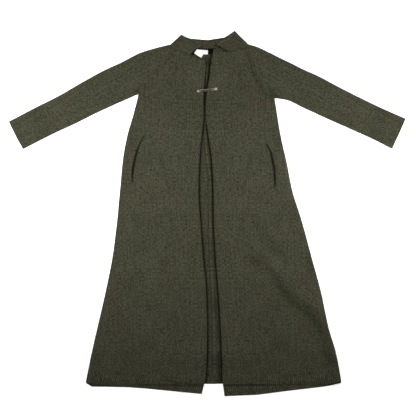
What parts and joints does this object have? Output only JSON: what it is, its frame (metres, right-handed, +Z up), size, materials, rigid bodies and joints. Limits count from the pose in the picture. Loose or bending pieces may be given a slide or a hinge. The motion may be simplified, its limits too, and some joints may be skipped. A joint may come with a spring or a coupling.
{
  "type": "long knit coat",
  "caption": "Long open-front knit coat with raglan sleeves, a stand collar, slit pockets and a ribbed hem, laid flat face up and closed by a safety pin.",
  "frame": {"origin": "middle of the outline seen from above, on the surface that the coat rests on", "axes": "+Z up from the surface, +Y towards the collar, +X to the viewer's right"},
  "size_m": [1.3861, 1.278, 0.0157],
  "materials": {
    "knit": "matt marled wool knit, fine upright wales",
    "rib_knit": "matt marled wool rib",
    "bag_knit": "matt fine knit",
    "tape": "black woven tape, slight sheen",
    "label": "white woven satin, bare",
    "silver": "polished silver-coloured wire and cap"
  },
  "bodies": {
    "root": {"back_left": "knit", "back_right": "knit", "front_left": "knit", "front_right": "knit", "sleeve_left": "knit", "sleeve_right": "knit", "collar": "knit", "hem_front_left": "rib_knit", "hem_front_right": "rib_knit", "hem_back": "rib_knit", "pocket_bag_left": "bag_knit", "pocket_bag_right": "bag_knit", "neck_tape": "tape", "neck_label": "label", "size_label": "label", "pin_wire": "silver", "pin_cap": "silver"}
  },
  "joints": []
}
